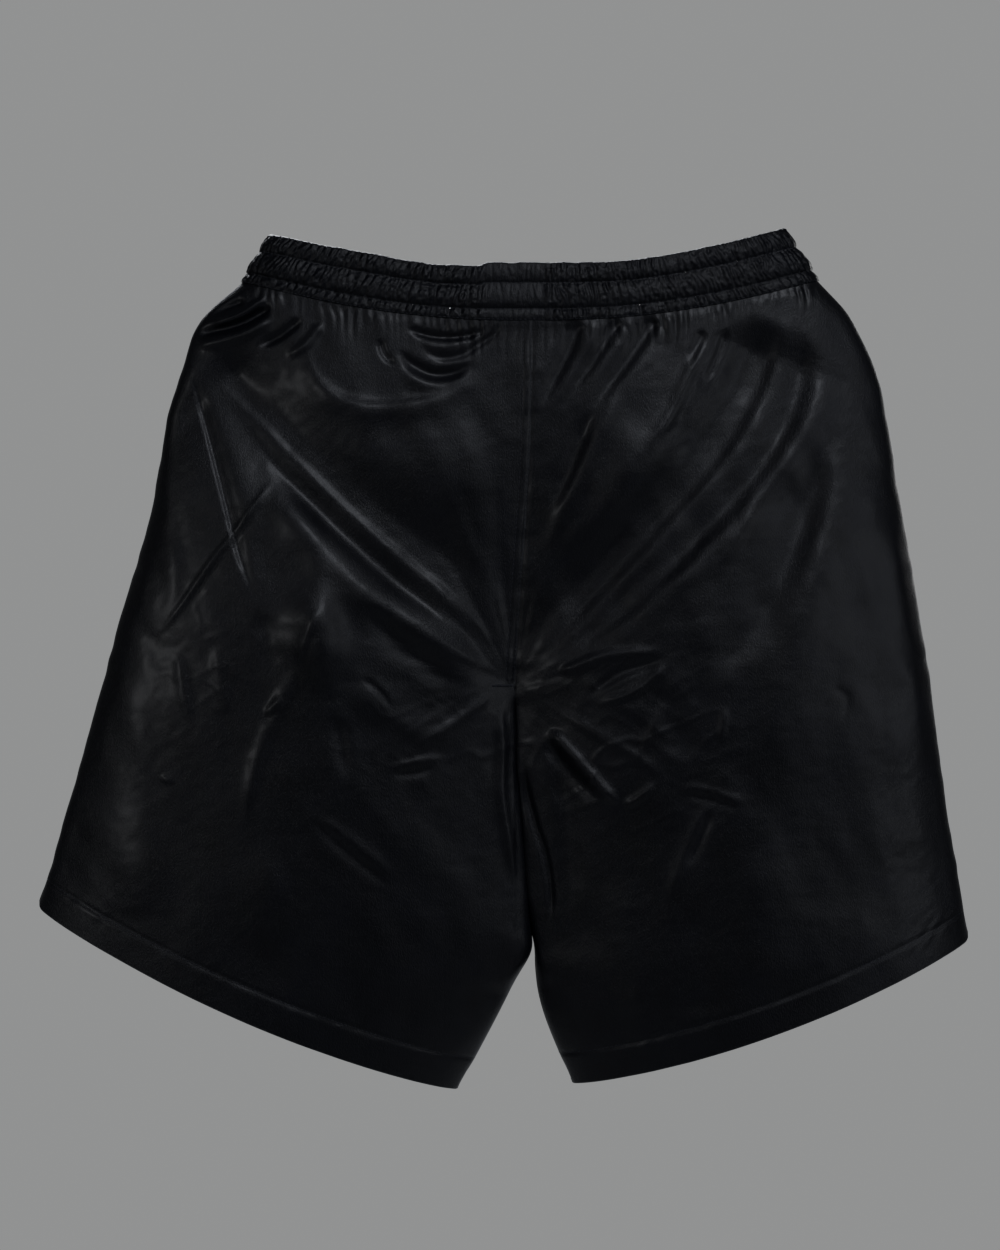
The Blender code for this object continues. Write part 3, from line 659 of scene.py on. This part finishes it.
def new_material(name, colour, roughness, sheen, weave, bump, patchy=0.25, specular=0.5, coat=0.0):
    """Cloth: a fine grain with faint woven rows in the bump, uneven colour and roughness, and a sheen."""
    material = bpy.data.materials.new(name)
    material.use_nodes = True
    nodes, links = material.node_tree.nodes, material.node_tree.links
    shader = nodes["Principled BSDF"]
    shader.inputs["Sheen Weight"].default_value = sheen
    shader.inputs["Sheen Roughness"].default_value = 0.45
    shader.inputs["Sheen Tint"].default_value = SHEEN_TINT
    shader.inputs["Specular IOR Level"].default_value = specular
    shader.inputs["Coat Weight"].default_value = coat
    shader.inputs["Coat Roughness"].default_value = 0.28
    place = nodes.new("ShaderNodeTexCoord").outputs["Object"]

    def node(kind, **values):
        made = nodes.new(kind)
        for key, value in values.items():
            if key in made.inputs:
                made.inputs[key].default_value = value
            else:
                setattr(made, key, value)
        return made

    def mapped(scale):
        mapping = node("ShaderNodeMapping", Scale=scale)
        links.new(place, mapping.inputs["Vector"])
        return mapping.outputs["Vector"]

    blotches = node("ShaderNodeTexNoise", Scale=38.0, Detail=3.0)
    links.new(place, blotches.inputs["Vector"])
    grain = node("ShaderNodeTexNoise", Scale=GRAIN_SCALE, Detail=2.0)
    links.new(mapped((1, 1, 0.45)), grain.inputs["Vector"])
    ribs = node("ShaderNodeTexWave", Scale=weave, Distortion=1.2, wave_type="BANDS", bands_direction="X")
    links.new(mapped((1, 0.15, 1)), ribs.inputs["Vector"])
    courses = node("ShaderNodeTexWave", Scale=weave * 1.15, Distortion=1.0, wave_type="BANDS",
                   bands_direction="Z")
    links.new(place, courses.inputs["Vector"])

    ramp = node("ShaderNodeValToRGB")
    ramp.color_ramp.elements[0].position = 0.3
    ramp.color_ramp.elements[1].position = 0.75
    ramp.color_ramp.elements[0].color = (*[c * (1 - patchy) for c in colour], 1)
    ramp.color_ramp.elements[1].color = (*[c * (1 + patchy) for c in colour], 1)
    mixed = node("ShaderNodeMath", operation="MULTIPLY_ADD")
    mixed.inputs[1].default_value = 0.5
    links.new(grain.outputs["Fac"], mixed.inputs[0])
    half = node("ShaderNodeMath", operation="MULTIPLY")
    half.inputs[1].default_value = 0.5
    links.new(blotches.outputs["Fac"], half.inputs[0])
    links.new(half.outputs[0], mixed.inputs[2])
    links.new(mixed.outputs[0], ramp.inputs["Fac"])
    links.new(ramp.outputs["Color"], shader.inputs["Base Color"])

    rough = node("ShaderNodeMapRange")
    rough.inputs["To Min"].default_value = roughness - 0.05
    rough.inputs["To Max"].default_value = roughness + 0.07
    links.new(mixed.outputs[0], rough.inputs["Value"])
    links.new(rough.outputs["Result"], shader.inputs["Roughness"])

    cloth = node("ShaderNodeMath", operation="MULTIPLY")
    links.new(ribs.outputs["Fac"], cloth.inputs[0])
    links.new(courses.outputs["Fac"], cloth.inputs[1])
    height = node("ShaderNodeMath", operation="MULTIPLY_ADD")
    height.inputs[1].default_value = WEAVE_SHARE
    links.new(cloth.outputs[0], height.inputs[0])
    links.new(grain.outputs["Fac"], height.inputs[2])
    relief_node = node("ShaderNodeBump", Strength=bump, Distance=GRAIN_DEPTH)
    links.new(height.outputs[0], relief_node.inputs["Height"])
    links.new(relief_node.outputs["Normal"], shader.inputs["Normal"])
    return material


BLACK = (0.0002, 0.00022, 0.00045)
SATIN_LOOK = {"roughness": 0.42, "sheen": 0.002, "weave": 380.0, "bump": 1.0, "patchy": 0.5}
satin = new_material("black_satin", BLACK, specular=0.031, coat=0.011, **SATIN_LOOK)
casing_cloth = new_material("gathered_satin", BLACK, specular=0.026, coat=0.002, **SATIN_LOOK)
thread_black = new_material("black_thread", (0.0016, 0.0017, 0.0024), roughness=0.5, sheen=0.004,
                            weave=900.0, bump=0.2, specular=0.045)
elastic_white = new_material("elastic_tape", (0.62, 0.61, 0.57), roughness=0.8, sheen=0.1, weave=260.0,
                             bump=0.6, patchy=0.1)
label_white = new_material("label_tape", (0.68, 0.68, 0.65), roughness=0.45, sheen=0.2, weave=500.0,
                           bump=0.3, patchy=0.06)


# Panels

ACROSS, DOWN = ((190, 320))
FRONT_SHARE = 0.6  # the front has this share of the back's rows and columns


def make_panels():
    made = {}
    for face in FACES:
        for side in SIDES:
            scale = 1.0 if face == "back" else FRONT_SHARE
            columns = column_shares(int(ACROSS * scale))
            u, v = np.meshgrid(columns, np.linspace(0, 1, int(DOWN * scale) + 1))
            faces = grid_faces(*u.shape, (side == "left") == (face == "back"))
            made[face, side] = mesh_object(f"{face}_{side}_cloth", surface(side, face, u, v), faces, satin,
                                           [f"{face}_panel_{side}"])
    return made


BUTTONHOLE_SLIT = (1.6 * MM, 4.4 * MM)  # half width and half height of the hole in the outer wall


def make_waistband():
    """Outer wall, rounded top and inner wall, with a slit for each buttonhole."""
    radius = BAND_THICKNESS / 2
    wall_rows = 44
    rows = [band_wall(h) for h in np.linspace(0.0, BAND_TOP, wall_rows)]
    top_out, top_in = rows[-1], band_wall(BAND_TOP, BAND_THICKNESS)
    for a in np.linspace(0, math.pi, 8)[1:-1]:
        middle = (top_out + top_in) / 2 + (top_out - top_in) / 2 * math.cos(a)
        middle[:, 2] += radius * math.sin(a)
        rows.append(middle)
    rows += [band_wall(h, BAND_THICKNESS) for h in np.linspace(BAND_TOP, 0.0, wall_rows // 2)]
    points = closed_rows(np.stack(rows))
    faces = grid_faces(*points.shape[:2], False)
    centres = points.reshape(-1, 3)[faces].mean(axis=1)
    outer_wall = np.arange(len(faces)) < (wall_rows - 1) * (points.shape[1] - 1)
    loop = band_plain(BUTTONHOLE_HEIGHT)
    front_xs, front_zs = zip(*sorted((p[0], p[2]) for p in loop if p[1] > 0))
    keep = np.ones(len(faces), bool)
    for place in EYELETS:
        z = np.interp(place * MM, front_xs, front_zs)
        across = (centres[:, 0] - place * MM) / BUTTONHOLE_SLIT[0]
        upwards = (centres[:, 2] - z) / BUTTONHOLE_SLIT[1]
        hole = across ** 2 + upwards ** 2 < 1
        keep &= ~(hole & (centres[:, 1] > 0) & outer_wall)
    obj = mesh_object("gathered_waistband", points, faces[keep], casing_cloth,
                      ["waistband_casing"])
    bpy.data.objects["waistband_elastic"].data.materials[0] = elastic_white


HEM_LIP = [(0.0, 0.0), (0.5 * MM, -0.7 * MM), (1.2 * MM, -0.8 * MM), (1.9 * MM, -0.1 * MM)]  # inset, drop
TURNUP_INSET = 2.1 * MM
TURNUP_ROWS = 5


def make_hems():
    """The cloth turned up inside each leg: round the lip of the hem and back up to the stitches."""
    turn = [(1.0, inset, drop) for inset, drop in HEM_LIP]
    for k in range(1, TURNUP_ROWS + 1):
        turn.append((1 - (1 - HEM_LINE["left"]) * k / TURNUP_ROWS, TURNUP_INSET, 0.0))
    us = column_shares(ACROSS)
    for side in SIDES:
        rows = []
        for v, inset, drop in turn:
            near = surface(side, "back", us, np.full(us.shape, v), inset)
            far = surface(side, "front", us, np.full(us.shape, v), inset)
            row = np.concatenate([near, far[::-1]])
            row[:, 2] += drop
            rows.append(row)
        points = closed_rows(np.stack(rows))
        faces = grid_faces(*points.shape[:2], side == "right")
        obj = mesh_object(f"{side}_hem_inside", points, faces, satin, [f"hem_turnup_{side}"])


# Stitches

STITCH_LENGTH = 2.3 * MM
STITCH_PITCH = 3.0 * MM
STITCH_WIDTH = 0.42 * MM
THREAD_SIDES = 6
# A stitch along its length, as (place from -0.5 to 0.5, share of its width)
STITCH_PROFILE = [(-0.5, 0.25), (-0.42, 0.7), (-0.2, 1.0), (0.2, 1.0), (0.42, 0.7), (0.5, 0.25)]
THREAD_HEIGHT = 0.7  # height of a thread, as a share of its width
THREAD_LIFT = 0.25  # its lift off the line, in half widths
ON_CLOTH = 0.1 * MM  # rows of stitches lie this far off the cloth


def resampled(points, pitch, closed=False):
    """Places along a line that are a pitch apart, and the line's directions there."""
    points = np.asarray(points)
    if closed:
        points = np.concatenate([points, points[:1]])
    along = np.concatenate([[0], np.cumsum(np.linalg.norm(np.diff(points, axis=0), axis=1))])
    count = max(int(along[-1] / pitch), 1)
    at = (np.arange(count) + 0.5) * along[-1] / count
    step = 0.3 * MM

    def points_at(distance):
        return np.stack([np.interp(distance, along, points[:, k]) for k in range(3)], axis=-1)

    direction = points_at(at + step) - points_at(at - step)
    return points_at(at), direction / np.linalg.norm(direction, axis=1)[:, None]


def stitches(name, points, outwards, parts, closed=False, length=STITCH_LENGTH, pitch=STITCH_PITCH,
             width=STITCH_WIDTH, turn=0.0):
    """A row of separate stitches along a line: each is a short rounded bead of thread."""
    place, direction = resampled(points, pitch, closed)
    out = np.zeros(place.shape)
    out[:] = outwards(place) if callable(outwards) else outwards
    out -= direction * (out * direction).sum(axis=1)[:, None]
    out /= np.linalg.norm(out, axis=1)[:, None]
    across = np.cross(direction, out)
    if turn:
        direction, across = (direction * math.cos(turn) + across * math.sin(turn),
                             across * math.cos(turn) - direction * math.sin(turn))
    rings = []
    for along, size in STITCH_PROFILE:
        for k in range(THREAD_SIDES):
            a = 2 * math.pi * k / THREAD_SIDES
            lift = math.sin(a) * THREAD_HEIGHT * size + THREAD_LIFT * size
            offset = (direction * along * length + across * (math.cos(a) * size * width / 2)
                      + out * (lift * width / 2))
            rings.append(place + offset)
    verts = np.stack(rings, axis=1)
    faces = []
    for r in range(len(STITCH_PROFILE) - 1):
        for k in range(THREAD_SIDES):
            a = r * THREAD_SIDES + k
            b = r * THREAD_SIDES + (k + 1) % THREAD_SIDES
            faces.append((a, b, b + THREAD_SIDES, a + THREAD_SIDES))
    quads = np.concatenate([np.array(faces) + len(rings) * i for i in range(len(place))])
    return mesh_object(name, verts, quads, thread_black, parts)


def sideways(place):
    """Level and straight away from the middle plane, on the side that a point is on."""
    out = np.zeros(place.shape)
    out[:, 1] = np.sign(place[:, 1])
    return out


# Rows round the waistband, as (name, share of its height, the CAD node that it stands for)
WAIST_ROWS = (("lower", TIERS[1], ["waistband_stitch_lower"]),
              ("upper", TIERS[2], ["waistband_stitch_upper"]),
              ("seam", 0.02, []))
TACK_FROM, TACK_TO = 17, 1  # mm left of the rise
TACK_POINTS = 12
TACK_LIFT = 0.3 * MM
TACK_TURN = 1.35  # radians between the tack's line and its threads


def make_stitches():
    """Stitches of the waistband, the hems and the rises, and the tack at the crotch."""
    for name, height, parts in WAIST_ROWS:
        loop = push(band_wall(height), ON_CLOTH)
        stitches(f"waistband_{name}_stitches", loop, sideways, parts, closed=True)
    us = column_shares(ACROSS)
    for side in SIDES:
        line = np.full(us.shape, HEM_LINE[side])
        near, far = surface(side, "back", us, line), surface(side, "front", us, line)
        near[:, 1] -= ON_CLOTH
        far[:, 1] += ON_CLOTH
        loop = np.concatenate([near, far[::-1]])
        stitches(f"{side}_hem_stitches", loop, sideways, [f"hem_stitch_{side}"], closed=True)
    for face in FACES:
        for name, distance in zip(("near", "far"), RISE_ROWS):
            v = np.linspace(0.004, CROTCH - 0.008, 160)
            width = inner_edge("left", v)[:, 0] - side_curve["left"](v)[:, 0]
            line = surface("left", face, 1 - distance / width, v)
            line[:, 1] += FACES[face] * ON_CLOTH
            stitches(f"{face}_rise_{name}_stitches", line, sideways, [f"{face}_rise_topstitch_{name}"])
    v = np.full(TACK_POINTS, CROTCH)
    distance = np.linspace(TACK_FROM, TACK_TO, TACK_POINTS) * MM
    for _ in range(4):  # finds a level line at the crotch's height
        share = 1 - distance / (inner_edge("left", v) - side_curve["left"](v))[:, 0]
        v = v + (plain_panel("left", "back", share, v)[2] - RISE[-1][1]) / (length_of(RISE) / CROTCH)
    line = surface("left", "back", share, v)
    line[:, 1] -= TACK_LIFT
    stitches("crotch_tack", line, sideways, ["crotch_bartack"], length=1.9 * MM, pitch=0.42 * MM,
             width=0.4 * MM, turn=TACK_TURN)


ALLOWANCE_INSET = 1.3 * MM
OVERLOCK_RIDGE = 0.22 * MM
OVERLOCK_PITCH = 2.2 * MM
LABEL_OUT = 2.2 * MM  # how far the label hangs inwards of its CAD node's middle
BUTTONHOLE_HALF = (2.0 * MM, 5.0 * MM)  # half width and half height of its ring of stitches


def make_inside():
    """Overlocked allowances, the care label and the drawcord's buttonholes."""
    # strips, as (CAD node, side, face, u from, u to, v from, v to)
    strips = []
    edges = {(face, side): [] for face in FACES for side in SIDES}
    for side in SIDES:
        end = HEM_LINE[side] - 0.01
        strips.append((f"side_seam_overlock_{side}", side, "back", 0.020, 0.038, 0.03, end))
        strips.append((f"inseam_overlock_{side}", side, "back", 0.962, 0.980, CROTCH + 0.02, end))
    for face in FACES:
        strips.append((f"{face}_rise_overlock", "left", face, 0.968, 0.996, 0.01, CROTCH - 0.03))
    for name, side, face, u0, u1, v0, v1 in strips:
        u, v = np.meshgrid(np.linspace(u0, u1, 7), np.linspace(v0, v1, 420))
        slant = 5 * np.abs(u - u0) / (u1 - u0)
        phase = v * length_of(SIDE_SEAM[side]) * 2 * math.pi / OVERLOCK_PITCH + slant
        points = surface(side, face, u, v, ALLOWANCE_INSET + OVERLOCK_RIDGE * np.sin(phase))
        faces = grid_faces(*u.shape, (side == "left") == (face == "back"))
        strip = mesh_object(name.replace("overlock", "edge"), points, faces, thread_black, [name])
        edges[face, side].append(strip)

    # the label's cloth curls a little more towards its free end
    u, t = np.meshgrid(np.linspace(-1, 1, 25), np.linspace(0, 1, 37))
    low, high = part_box("care_label")
    x = (low[0] + high[0]) / 2 + u * (high[0] - low[0]) / 2 * (1 - 0.03 * np.sin(t * 5))
    z = high[2] - t * (high[2] - low[2])
    curl = 1.6 * MM * np.sin(t * 2.2 + 0.4 * u) * t
    y = (low[1] + high[1]) / 2 + LABEL_OUT + curl + 0.5 * MM * u * u * t
    points = np.stack([x, y, z], axis=-1)
    label = mesh_object("woven_label", points, grid_faces(*u.shape, False), label_white,
                        ["care_label"])

    loop = band_wall(BUTTONHOLE_HEIGHT)
    front = sorted((p for p in loop if p[1] > 0), key=lambda p: p[0])
    xs = [p[0] for p in front]
    for side, place in zip(SIDES, EYELETS):
        y = np.interp(place * MM, xs, [p[1] for p in front])
        z = np.interp(place * MM, xs, [p[2] for p in front])
        a = np.linspace(0, 2 * math.pi, 90, endpoint=False)
        ring = np.stack([place * MM + BUTTONHOLE_HALF[0] * np.cos(a), 0 * a + y + 0.35 * MM,
                         z + BUTTONHOLE_HALF[1] * np.sin(a)], axis=-1)
        stitches(f"{side}_buttonhole", ring, (0, 1, 0), [f"drawcord_eyelet_{side}"], closed=True,
                 length=1.9 * MM, pitch=0.40 * MM, width=0.45 * MM, turn=math.pi / 2)
    return edges


panels = make_panels()
make_waistband()
make_hems()
make_stitches()
for panel, edges in make_inside().items():
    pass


# Camera, floor and light

def look_at(obj, target):
    direction = Vector(target) - obj.location
    obj.rotation_euler = direction.to_track_quat("-Z", "Y").to_euler()


def area_light(name, place, target, size, power, colour=(1, 1, 1)):
    data = bpy.data.lights.new(name, "AREA")
    data.shape = "RECTANGLE"
    data.size, data.size_y = size
    data.energy = power
    data.color = colour
    obj = bpy.data.objects.new(name, data)
    obj.location = place
    bpy.context.scene.collection.objects.link(obj)
    look_at(obj, target)


CENTRE = (-0.018, 0.0, -0.262)
CAMERA_DISTANCE = 1.6
VIEW_HEIGHT = 0.8333  # m, from bottom to top at the shorts
SENSOR = 36.0

camera_data = bpy.data.cameras.new("camera")
camera_data.sensor_fit = "VERTICAL"
camera_data.sensor_height = SENSOR
camera_data.lens = SENSOR * CAMERA_DISTANCE / VIEW_HEIGHT
camera_data.clip_end = 20
camera = bpy.data.objects.new("camera", camera_data)
camera.location = (CENTRE[0], -CAMERA_DISTANCE, CENTRE[2])
bpy.context.scene.collection.objects.link(camera)
look_at(camera, CENTRE)
bpy.context.scene.camera = camera

floor_material = bpy.data.materials.new("floor")
floor_material.use_nodes = True
floor_material.node_tree.nodes["Principled BSDF"].inputs["Base Color"].default_value = (0.62, 0.63, 0.63, 1)
floor_material.node_tree.nodes["Principled BSDF"].inputs["Roughness"].default_value = 0.9
FLOOR_Z = -1.35
FLOOR_HALF = 2.0
corners = [(x * FLOOR_HALF, y * FLOOR_HALF, FLOOR_Z) for x, y in ((-1, -1), (1, -1), (1, 1), (-1, 1))]
floor_mesh = bpy.data.meshes.new("floor")
floor_mesh.from_pydata(corners, [], [(0, 1, 2, 3)])
floor = bpy.data.objects.new("floor", floor_mesh)
floor_mesh.materials.append(floor_material)
bpy.context.scene.collection.objects.link(floor)

world = bpy.data.worlds.new("studio")
world.use_nodes = True
world.node_tree.nodes["Background"].inputs["Color"].default_value = (0.60, 0.61, 0.61, 1)
world.node_tree.nodes["Background"].inputs["Strength"].default_value = 0.5
bpy.context.scene.world = world

area_light("key", (0.45, -1.50, 1.10), (0.02, 0, -0.32), (0.7, 0.45), 134, (0.93, 0.96, 1.05))
area_light("left_window", (-1.50, -1.40, 0.02), (-0.15, 0, -0.28), (0.13, 0.24), 40, (0.97, 0.98, 1.0))
area_light("right_window", (1.60, -1.25, -0.08), (0.15, 0, -0.3), (0.7, 0.8), 40, (0.94, 0.97, 1.05))
area_light("behind_above", (-0.5, 1.5, 1.45), (0, 0, -0.3), (1.0, 0.7), 120, (0.94, 0.97, 1.04))
area_light("behind_side", (1.3, 1.5, 0.2), (0, 0, -0.3), (0.7, 0.7), 10)
